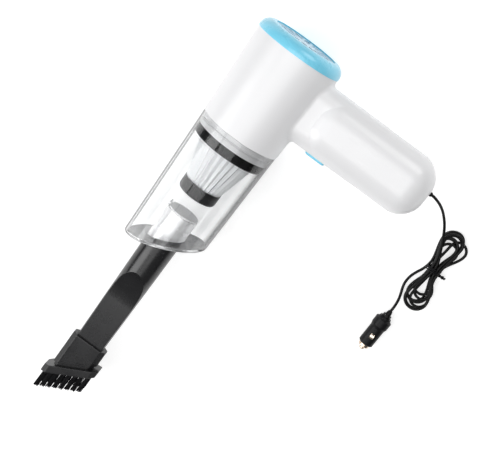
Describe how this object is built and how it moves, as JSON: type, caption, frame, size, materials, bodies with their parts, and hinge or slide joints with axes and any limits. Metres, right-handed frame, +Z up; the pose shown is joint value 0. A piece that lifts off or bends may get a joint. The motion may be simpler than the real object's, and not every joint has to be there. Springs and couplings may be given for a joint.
{
  "type": "handheld vacuum",
  "caption": "Pistol-shaped corded handheld vacuum with a clear slanted dust cup, pleated filter, crevice nozzle and brush; 12 V cord tied in a hank.",
  "frame": {"origin": "middle of the bottom of the tool's box with the tool lying on its side, cord, hank and plug left out", "axes": "+X along the suction axis towards the nozzle, +Y along the handle towards the cord exit, +Z up from the surface it lies on"},
  "size_m": [0.3432, 0.225, 0.07],
  "materials": {
    "white_shell": "satin white moulded ABS",
    "cyan_trim": "satin light blue moulded ABS",
    "felt_white": "white exhaust felt",
    "screw_steel": "zinc-plated steel",
    "motor_steel": "plated steel can",
    "magnet_black": "sintered ferrite",
    "bush_bronze": "sintered bronze",
    "rotor_steel": "laminated steel and windings",
    "shaft_steel": "ground steel",
    "fan_plastic": "natural nylon",
    "black_plastic": "matt black moulding",
    "cushion_rubber": "black rubber",
    "seal_clear": "translucent silicone rubber",
    "grille_blue": "satin pale blue moulded ABS",
    "seal_rubber": "black silicone rubber",
    "clear_plastic": "clear polished styrene",
    "inlet_silver": "silver-grey moulding",
    "flap_grey": "light grey rubber flap",
    "filter_white": "pleated filter paper",
    "filter_grey": "dark grey moulding",
    "black_gloss": "satin black moulding",
    "bristle_black": "black nylon bristle",
    "core_insulation": "insulated wire",
    "cord_black": "black flexible PVC",
    "contact_nickel": "nickel-plated spring strip",
    "contact_brass": "brass",
    "fuse_glass": "glass fuse"
  },
  "bodies": {
    "main": {"left_housing_shell": "white_shell", "right_housing_shell": "white_shell", "housing_screws": "screw_steel", "exhaust_ring": "cyan_trim", "exhaust_grille": "grille_blue", "grille_screws": "screw_steel", "exhaust_felt": "felt_white", "switch_module": "black_plastic", "button_spring": "screw_steel", "motor_can": "motor_steel", "motor_end_cap": "black_plastic", "motor_bushes": "bush_bronze", "motor_magnets": "magnet_black", "motor_cushion": "cushion_rubber", "motor_screws": "screw_steel", "fan_diffuser": "black_plastic", "fan_shroud": "fan_plastic", "spigot_collar": "white_shell", "cup_seal": "seal_clear", "motor_guard": "white_shell", "cord_gland": "cord_black", "supply_tail": "cord_black", "cord_clamp": "black_plastic", "clamp_screws": "screw_steel", "supply_core": "core_insulation", "return_core": "core_insulation", "switched_core": "core_insulation", "cord_lead": "cord_black", "cord_hank": "cord_black", "hank_tie": "black_plastic", "plug_lead": "cord_black", "plug_strain_relief": "cord_black", "plug_body": "black_plastic", "plug_nose_ring": "contact_brass", "plug_spring": "screw_steel", "plug_side_springs": "contact_nickel"},
    "fan_rotor": {"motor_shaft": "shaft_steel", "motor_armature": "rotor_steel", "impeller": "fan_plastic"},
    "button": {"power_button": "cyan_trim"},
    "cup": {"dust_cup": "clear_plastic", "inlet_tube": "inlet_silver", "flap_pin": "screw_steel"},
    "flap": {"inlet_flap": "flap_grey"},
    "filter": {"filter_seal": "seal_rubber", "filter_frame": "white_shell", "filter_pleats": "filter_white", "filter_tip_cup": "filter_grey"},
    "nozzle": {"crevice_nozzle": "black_gloss"},
    "brush": {"brush_sleeve": "black_gloss", "brush_bristles": "bristle_black"},
    "plug_tip": {"plug_tip_contact": "contact_brass", "plug_fuse": "fuse_glass"}
  },
  "joints": [
    {"name": "fan_spin", "type": "hinge", "parent": "main", "child": "fan_rotor", "pos_m": [-0.13157, -0.0507, 0.035], "axis": [1, 0, 0], "continuous": true},
    {"name": "button_press", "type": "slide", "parent": "main", "child": "button", "axis": [-1, 0, 0], "range_m": [0, 0.0015], "stiffness_N_per_m": 400, "springref_m": -0.002, "deforming": ["button_spring"]},
    {"name": "cup_pull", "type": "slide", "parent": "main", "child": "cup", "axis": [1, 0, 0], "range_m": [0, 0.13]},
    {"name": "filter_pull", "type": "slide", "parent": "main", "child": "filter", "axis": [1, 0, 0], "range_m": [0, 0.052]},
    {"name": "flap_swing", "type": "hinge", "parent": "cup", "child": "flap", "pos_m": [-0.01567, -0.06335, 0.035], "axis": [0, 0, 1], "range_deg": [0, 32], "stiffness_Nm_per_rad": 0.001},
    {"name": "nozzle_pull", "type": "slide", "parent": "cup", "child": "nozzle", "axis": [1, 0, 0], "range_m": [0, 0.03]},
    {"name": "brush_pull", "type": "slide", "parent": "nozzle", "child": "brush", "axis": [1, 0, 0], "range_m": [0, 0.03]},
    {"name": "plug_tip_press", "type": "slide", "parent": "main", "child": "plug_tip", "axis": [-1, 0, 0], "range_m": [0, 0.0015], "stiffness_N_per_m": 800, "springref_m": -0.002, "deforming": ["plug_spring"]}
  ],
  "couplings": [
    {"joint": "filter_pull", "follows": "cup_pull", "ratio": 0.4}
  ]
}
